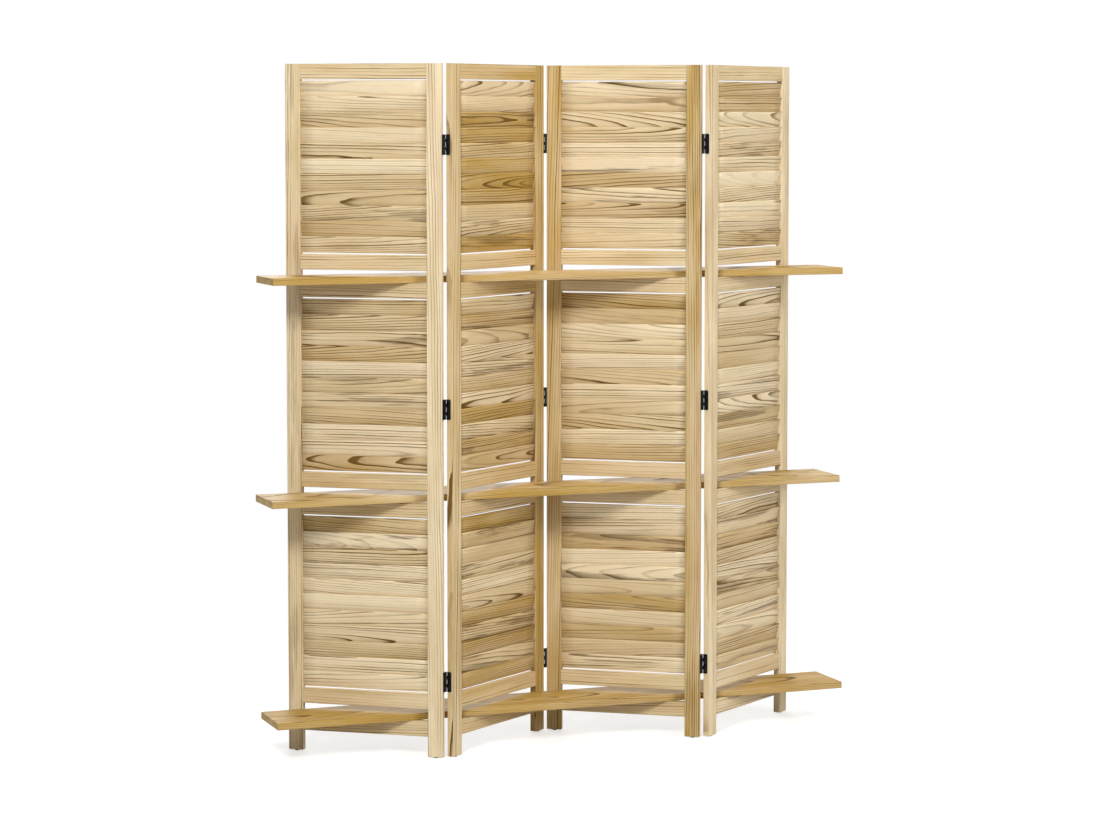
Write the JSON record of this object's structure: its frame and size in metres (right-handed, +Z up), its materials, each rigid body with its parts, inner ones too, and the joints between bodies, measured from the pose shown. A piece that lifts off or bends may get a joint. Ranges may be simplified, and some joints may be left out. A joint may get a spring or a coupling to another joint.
{
  "type": "louvered folding screen",
  "caption": "Free-standing zigzag folding screen of hinged louvered panels with straight shelf boards passing through slots in the panels.",
  "frame": {"origin": "on the floor, under the middle of the screen's bounding box", "axes": "+X runs along the shelf boards to the right as seen from the front, +Y towards the back, +Z up"},
  "size_m": [1.524, 0.245, 1.703],
  "materials": {
    "stile_wood": "bare sanded paulownia, grain along the stile",
    "rail_wood": "bare sanded paulownia, grain along the rail",
    "slat_wood": "bare sanded paulownia, each slat in its own tone",
    "shelf_wood": "bare sanded laminated board",
    "glide_plastic": "moulded grey plastic",
    "hinge_metal": "black coated steel"
  },
  "bodies": {
    "panel_1": {"panel_1_left_stile": "stile_wood", "panel_1_right_stile": "stile_wood", "panel_1_top_rail": "rail_wood", "panel_1_shelf_rails": "rail_wood", "panel_1_bottom_rail": "rail_wood", "panel_1_upper_louvers": "slat_wood", "panel_1_middle_louvers": "slat_wood", "panel_1_lower_louvers": "slat_wood", "panel_1_glides": "glide_plastic", "hinges_1_2_left_leaves": "hinge_metal", "hinges_1_2_pins": "hinge_metal"},
    "panel_2": {"panel_2_left_stile": "stile_wood", "panel_2_right_stile": "stile_wood", "panel_2_top_rail": "rail_wood", "panel_2_shelf_rails": "rail_wood", "panel_2_bottom_rail": "rail_wood", "panel_2_upper_louvers": "slat_wood", "panel_2_middle_louvers": "slat_wood", "panel_2_lower_louvers": "slat_wood", "panel_2_glides": "glide_plastic", "hinges_1_2_right_leaves": "hinge_metal", "hinges_2_3_left_leaves": "hinge_metal", "hinges_2_3_pins": "hinge_metal"},
    "panel_3": {"panel_3_left_stile": "stile_wood", "panel_3_right_stile": "stile_wood", "panel_3_top_rail": "rail_wood", "panel_3_shelf_rails": "rail_wood", "panel_3_bottom_rail": "rail_wood", "panel_3_upper_louvers": "slat_wood", "panel_3_middle_louvers": "slat_wood", "panel_3_lower_louvers": "slat_wood", "panel_3_glides": "glide_plastic", "hinges_2_3_right_leaves": "hinge_metal", "hinges_3_4_left_leaves": "hinge_metal", "hinges_3_4_pins": "hinge_metal"},
    "panel_4": {"panel_4_left_stile": "stile_wood", "panel_4_right_stile": "stile_wood", "panel_4_top_rail": "rail_wood", "panel_4_shelf_rails": "rail_wood", "panel_4_bottom_rail": "rail_wood", "panel_4_upper_louvers": "slat_wood", "panel_4_middle_louvers": "slat_wood", "panel_4_lower_louvers": "slat_wood", "panel_4_glides": "glide_plastic", "hinges_3_4_right_leaves": "hinge_metal"},
    "lower_shelf": {"lower_shelf": "shelf_wood"},
    "middle_shelf": {"middle_shelf": "shelf_wood"},
    "upper_shelf": {"upper_shelf": "shelf_wood"}
  },
  "joints": [
    {"name": "fold_2_3", "type": "hinge", "parent": "panel_2", "child": "panel_3", "pos_m": [0.009, 0.10814, 0.857], "axis": [0, 0, -1], "range_deg": [-7, 109]},
    {"name": "fold_1_2", "type": "hinge", "parent": "panel_2", "child": "panel_1", "pos_m": [-0.33383, -0.10814, 0.857], "axis": [0, 0, -1], "range_deg": [-7, 109]},
    {"name": "fold_3_4", "type": "hinge", "parent": "panel_3", "child": "panel_4", "pos_m": [0.35183, -0.10814, 0.857], "axis": [0, 0, 1], "range_deg": [-7, 109]},
    {"name": "lower_shelf_turn", "type": "hinge", "parent": "panel_2", "child": "lower_shelf", "pos_m": [-0.16241, 0, 0.1], "axis": [0, 0, -1], "range_deg": [-3.5, 54.5]},
    {"name": "middle_shelf_slide", "type": "slide", "parent": "lower_shelf", "child": "middle_shelf", "axis": [1, 0, 0], "range_m": [-0.6, 0.6]},
    {"name": "upper_shelf_slide", "type": "slide", "parent": "lower_shelf", "child": "upper_shelf", "axis": [1, 0, 0], "range_m": [-0.6, 0.6]}
  ],
  "couplings": [
    {"joint": "fold_1_2", "follows": "fold_2_3", "ratio": 1},
    {"joint": "fold_3_4", "follows": "fold_2_3", "ratio": 1},
    {"joint": "lower_shelf_turn", "follows": "fold_2_3", "ratio": 0.5}
  ]
}
